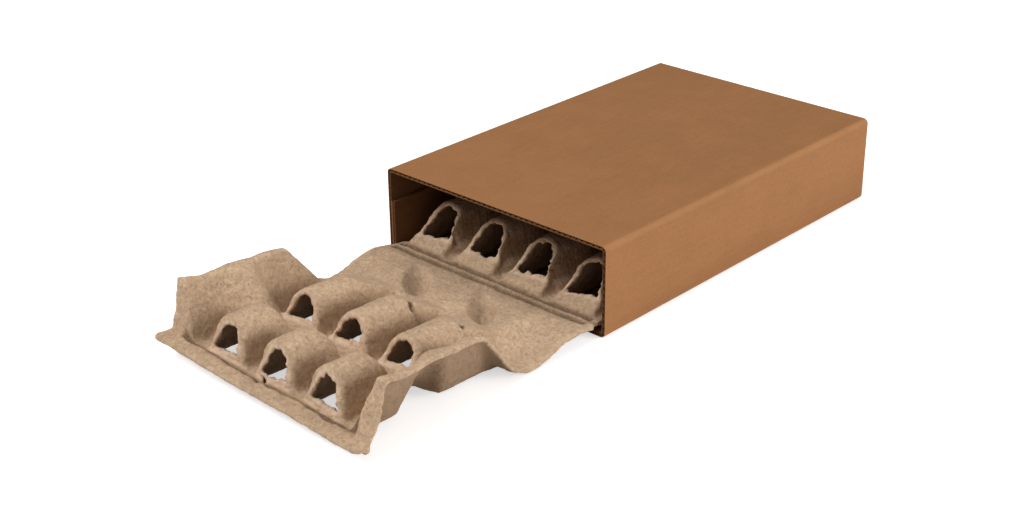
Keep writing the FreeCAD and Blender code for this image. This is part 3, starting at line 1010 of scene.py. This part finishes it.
def cup_axes(x, d, cup, half):
    """Places in a slanted oval, which is 1 away from its middle all round its edge."""
    x, d = x - cup[0], d - cup[1]
    u = (x * math.cos(CUP_TURN) - d * math.sin(CUP_TURN)) / half[0]
    v = (x * math.sin(CUP_TURN) + d * math.cos(CUP_TURN)) / half[1]
    return u, v


def lip_line(x):
    """How far out from the hinge the ragged groove inside the lip lies."""
    return 124.7 + 0.5 * np.sin(x / 4.3) + 0.3 * np.sin(x / 1.9 + 1.0)


print("cups at", CUPS, "and slits at", SLITS)

# %% Pressing the cups, the grooves and the slits
points = points_of(insert)
x, distance, height = lid_coordinates(points)
for cup in CUPS:
    u, v = cup_axes(x, distance, cup, CUP_HALF)
    far = np.maximum(np.hypot(u, v), 1e-6)
    into = np.clip((1 - far) / (0.80 - 0.15 * u / far), 0, 1)
    crisp = np.clip(0.5 - 0.5 * u / far, 0, 1)
    share = crisp * (1 - (1 - into) ** 1.6) + (1 - crisp) * step(into, 0, 1)
    points[:, 2] -= CUP_DEPTH * MM * share
upper = normals_of(insert)[:, 2] > 0.2
on_hinge = upper & (np.abs(distance) < 8) & (np.abs(x) < GROOVE_END)
wobble = 1 + 0.12 * np.sin(x / 9.0) + 0.08 * np.sin(x / 3.7)
fade = np.clip((GROOVE_END - np.abs(x)) / 6.0, 0, 1)
cut_depth = groove_depth(distance, GROOVES[0], 1.0, 1.4) + groove_depth(distance, GROOVES[1], 1.15, 1.5)
rib = groove_depth(distance, 0.0, 1.2, 0.5)
points[on_hinge, 2] -= (((cut_depth - rib) * wobble * fade) * MM)[on_hinge]
lip = upper & (distance > 121.5) & (distance < 128.0) & (np.abs(x) < LIP_GROOVE_END)
points[lip, 2] -= (groove_depth(distance, lip_line(x), 0.8, 1.3 + 0.4 * np.sin(x / 2.7)) * MM)[lip]
scratch = line_groove(x, distance, CRACK, 0.8, 0.7)
for slit in SLITS:
    scratch += line_groove(x, distance, slit, 0.75, 2.2)
scratch[~upper | (distance < 30) | (distance > 60)] = 0
points[:, 2] -= scratch * MM
print("pressed", int(on_hinge.sum()), "points of the hinge and", int(lip.sum()), "of the lip")

# %% Twisting the lid
# The lid has dried with a twist and been handled. The far side is on the left, seen from in front.
FAR_CORNER_UP, NEAR_CORNER_DOWN, NEAR_SIDE_OUT = 2.8, 1.0, 1.2
FAR_LIP_OUT, FAR_FOLD_LEAN, NEAR_PANEL_OUT = 3.0, 0.30, 4.2
outer_end = step(distance, 92, 133)
low = 1 - step(height, 5, 13)
near_side, far_side = step(x, 5, 62), step(-x, 5, 62)
rise = FAR_CORNER_UP * far_side * (0.25 + 0.75 * low) - NEAR_CORNER_DOWN * near_side
points[:, 2] += rise * outer_end * MM
points[:, 1] -= NEAR_SIDE_OUT * near_side * outer_end * MM
points[:, 0] -= FAR_LIP_OUT * step(-x, 30, 62) * step(distance, 123, 132) * low * MM
past_fold = np.clip(distance - 116.5 - 0.3 * (26 - height), 0, 8)
points[:, 0] -= FAR_FOLD_LEAN * past_fold * step(-x, 44, 50) * step(height, 1, 5) * MM
spread = step(distance, 115, 124) * np.clip((133 - distance) / 9, 0, 1)
points[:, 1] -= NEAR_PANEL_OUT * step(x, 51, 57) * (1 - step(height, -1, 12)) * spread * MM

# %% Leaning the base's ridges and waving the rims
FLANK_LEAN = 2.0
inward = (points[:, 1] - MOUTH_Y) / MM
first_row = step(inward, 8, 14) * (1 - step(inward, 24, 36)) * step(points[:, 2] / MM, 6, 9)
for ridge in BASE_RIDGES:
    flank = step(x - ridge, 7.2, 9.8) * (1 - step(x - ridge, 12.5, 16.0))
    points[:, 0] -= FLANK_LEAN * flank * first_row * MM
rim_top = step(np.abs(x), 50, 56) * step(height, 14, 24) * step(distance, 60, 72)
wave = np.sin((distance - 66) / 8.2) * 0.6 + np.sin((distance - 66) / 4.1 + 0.8) * 0.45
points[:, 2] += wave * rim_top * MM
set_points(insert, points)
print("the lid's twist and the rims are in")

# %% Uneven walls
# The sheet drifts as a whole, its surface is lumpy and grainy, and the grain is strongest on a rim.
def swirl(points, scale, seed):
    """Smooth noise in (-1, 1) over the points, with bumps of about the scale given."""
    shift = Vector((seed * 17.3, seed * 5.1, seed * 11.7))
    return np.array([noise.fractal(Vector(p) / scale + shift, 0.8, 2.1, 2) for p in points])


TABLE_CLEARANCE = 0.1 * MM
points, normals = points_of(insert), normals_of(insert)
near = rim_nearness(points, rims, 3.2 * MM)
roll = swirl(points, 26.0 * MM, 1)
lumpy = swirl(points, 7.0 * MM, 2)
grain = swirl(points, 2.3 * MM, 3)
drift = (0.55 * roll)[:, None] * np.array([[0.25, 0.25, 1.0]])
out = 0.26 * lumpy + (0.20 + 0.36 * near) * grain
outside = np.clip((HINGE_Y + 6 * MM - points[:, 1]) / (6 * MM), 0, 1)
points += drift * MM * (0.25 + 0.75 * outside)[:, None] + normals * (out * MM)[:, None]
points[:, 2] = np.maximum(points[:, 2], TABLE_CLEARANCE)
set_points(insert, points)
print("walls pushed about by up to", round(float(np.abs(out).max()), 2), "mm")

# %% Thinning the skin
# The part of the base that lies deep in the sleeve gives up more faces than the part in the open.
SKIN_LIMIT = 190000
deep = np.clip((points[:, 1] - (MOUTH_Y + 20 * MM)) / (30 * MM), 0, 1)
weight_group(insert, "thin", 0.25 + 0.75 * deep)
less = insert.modifiers.new("less", "DECIMATE")
less.ratio = min(1.0, SKIN_LIMIT / count_of(insert))
less.vertex_group, less.vertex_group_factor = "thin", 0.6
apply_modifier(insert, less)
insert.vertex_groups.clear()
bpy.ops.object.shade_smooth()
print("the insert has", count_of(insert), "triangles")

# %% The insert's place in the frame
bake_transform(insert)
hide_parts("insert_base", "insert_lid")

# %% [markdown]
# ## Pulp
# Recycled pulp is greyer and duller than kraft. Up close it is felted: pale and dark fibres, soft
# clouds of tone, and a matt surface that scatters light every way. The torn rims are paler, because
# they show the inside of the sheet. A number stored on each point of the mesh says how near a rim
# it is, so the paler tone follows the rims however they wander. Two more stored numbers carry painted
# shade: the grooves, slits and cups are darkened, and so are the points with the sheet above them.
# Streaks that darken the base inside the sleeve are partly painted shade too.

# %% Numbers stored on the points
def store(piece, name, values):
    """Stores one number on each point, for the material to read."""
    attribute = piece.data.attributes.new(name, "FLOAT", "POINT")
    attribute.data.foreach_set("value", values.astype(np.float32))
    print(name, "is above a half on", int((values > 0.5).sum()), "of", len(values), "points")


def shaded_creases(piece):
    """1 at the bottom of a pressed groove or a slit, and 0 on the open sheet: where the material paints
    shade.
    """
    x, distance, _ = lid_coordinates(points_of(piece))
    upper = normals_of(piece)[:, 2] > -0.1
    hinge = groove_depth(distance, GROOVES[0], 1.3, 1.6) + groove_depth(distance, GROOVES[1], 1.6, 1.8)
    hinge *= np.abs(x) < 58
    lip = groove_depth(distance, lip_line(x), 1.0, 1.4 + 0.5 * np.sin(x / 2.7))
    lip *= np.abs(x) < LIP_GROOVE_END
    slits = sum(line_groove(x, distance, slit, 0.8, 2.6) for slit in SLITS)
    slits += line_groove(x, distance, CRACK, 0.8, 0.6)
    slits[(distance < 30) | (distance > 60)] = 0
    # The cups get a little of this painted shade too.
    cups = 0
    for cup in CUPS:
        u, v = cup_axes(x, distance, cup, (6.4, 16.5))
        cups += 0.20 * step(1 - np.hypot(u, v), 0, 0.5)
    return np.clip(np.maximum(np.maximum(hinge, lip), slits + cups), 0, 1) * upper


def shade_under_sheet(piece):
    """1 on the points that have the sheet itself above them, as inside the ridges: where the material
    paints shade.
    """
    piece.data.calc_loop_triangles()
    points, normals = points_of(piece), normals_of(piece)
    triangles = [list(t.vertices) for t in piece.data.loop_triangles]
    tree = bvhtree.BVHTree.FromPolygons(points.tolist(), triangles)
    nearly_up = Vector((0.05, 0.0, 1.0))
    painted_shade_under = np.zeros(len(points))
    for i, (point, normal) in enumerate(zip(points, normals)):
        start = Vector(point + normal * 0.4 * MM)
        if tree.ray_cast(start, nearly_up, 30 * MM)[0] is not None:
            painted_shade_under[i] = 1.0
    return painted_shade_under


store(insert, "painted_shade_under", shade_under_sheet(insert))
store(insert, "torn_rim", rim_nearness(points_of(insert), rims, 3.4 * MM))
store(insert, "crease_shade", shaded_creases(insert))


# %% Pulp material
def sleeve_shade_streaks(tree, place):
    """Dark streaks across the base, which start a little way inside the mouth: partly streaks in the
    pulp, partly painted shade of the sleeve over the base.
    """
    split = node(tree, "ShaderNodeSeparateXYZ")
    wire(tree, place, split.inputs[0])
    stretch = node(tree, "ShaderNodeCombineXYZ")
    for axis, scale in zip("XYZ", (0.10, 1.1, 0.10)):
        wire(tree, math_node(tree, "MULTIPLY", split.outputs[axis], scale), stretch.inputs[axis])
    streak = node(tree, "ShaderNodeTexNoise", Scale=1.0, Detail=3.0)
    wire(tree, stretch.outputs[0], streak.inputs["Vector"])
    in_sleeve_shade = ramp(tree, split.outputs["Y"], MOUTH_Y / MM + 8, MOUTH_Y / MM + 20)
    in_sleeve_shade = math_node(tree, "MULTIPLY", in_sleeve_shade, 0.55)
    return math_node(tree, "MULTIPLY", ramp(tree, streak.outputs["Fac"], 0.46, 0.62), in_sleeve_shade)


def stored(tree, name):
    """The number that is stored on the points under a name."""
    return node(tree, "ShaderNodeAttribute", attribute_name=name).outputs["Fac"]


def pulp_material(colour):
    """Moulded pulp; colour is linear RGB."""
    material, tree, shader, place = start_material("moulded pulp", 0.95)
    coarse_sizes = {"Cloud Size": 9.0, "Grain Size": 1.5, "Fibre Size": 2.8, "Speck Size": 3.0}
    fine_sizes = {"Cloud Size": 3.0, "Grain Size": 0.45, "Fibre Size": 1.3, "Speck Size": 1.4}
    grain = add_grain(tree, place, coarse_sizes)
    fine = add_grain(tree, place, fine_sizes)
    dark, pale = tinted(colour, (0.74, 0.71, 0.68)), tinted(colour, (1.24, 1.28, 1.34))
    cloudy = ramp(tree, grain.outputs["Cloud"], 0.32, 0.68)
    tone = mix_colour(tree, cloudy, tinted(colour, 0.93), tinted(colour, 1.06))
    tone = lay(tree, tone, ramp(tree, fine.outputs["Cloud"], 0.48, 0.70), 0.42, dark)
    tone = lay(tree, tone, ramp(tree, grain.outputs["Grain"], 0.50, 0.68), 0.70, dark)
    tone = lay(tree, tone, ramp(tree, grain.outputs["Grain"], 0.48, 0.30), 0.68, pale)
    tone = lay(tree, tone, grain.outputs["Fibres"], 0.45, pale)
    tone = lay(tree, tone, fine.outputs["Fibres"], 0.25, dark)
    tone = lay(tree, tone, grain.outputs["Specks"], 0.55, tinted(colour, 0.42))
    broken = ramp(tree, fine.outputs["Grain"], 0.35, 0.6, 0.45, 0.95)
    torn = ramp(tree, stored(tree, "torn_rim"), 0.10, 0.60)
    tone = lay(tree, tone, torn, broken, tinted(colour, (1.32, 1.38, 1.50)))
    # Partly painted shade: streaky darkening of the base, only inside the sleeve, where the sleeve shades
    # it.
    tone = mix_colour(tree, sleeve_shade_streaks(tree, place), tone, tinted(colour, (0.55, 0.50, 0.45)))
    # Painted shade: points with the sheet itself above them, as inside the ridges, are darkened.
    tone = lay(tree, tone, stored(tree, "painted_shade_under"), 0.85, tinted(colour, (0.58, 0.54, 0.50)))
    broken = ramp(tree, fine.outputs["Grain"], 0.3, 0.6, 1.0, 0.7)
    # Painted shade: the bottoms of the grooves, slits and cups are darkened.
    tone = lay(tree, tone, stored(tree, "crease_shade"), broken, tinted(colour, (0.22, 0.18, 0.14)))
    wire(tree, tone, shader.inputs["Base Color"])
    wire(tree, ramp(tree, grain.outputs["Grain"], 0.3, 0.7, 0.90, 1.0), shader.inputs["Roughness"])
    raised = math_node(tree, "MULTIPLY", fine.outputs["Height"], 0.5)
    add_bump(tree, shader, math_node(tree, "ADD", grain.outputs["Height"], raised), 0.60)
    return material


PULP_COLOUR = (0.500, 0.345, 0.222)
insert.data.materials.clear()
insert.data.materials.append(pulp_material(PULP_COLOUR))
print("pulp on", insert.name)
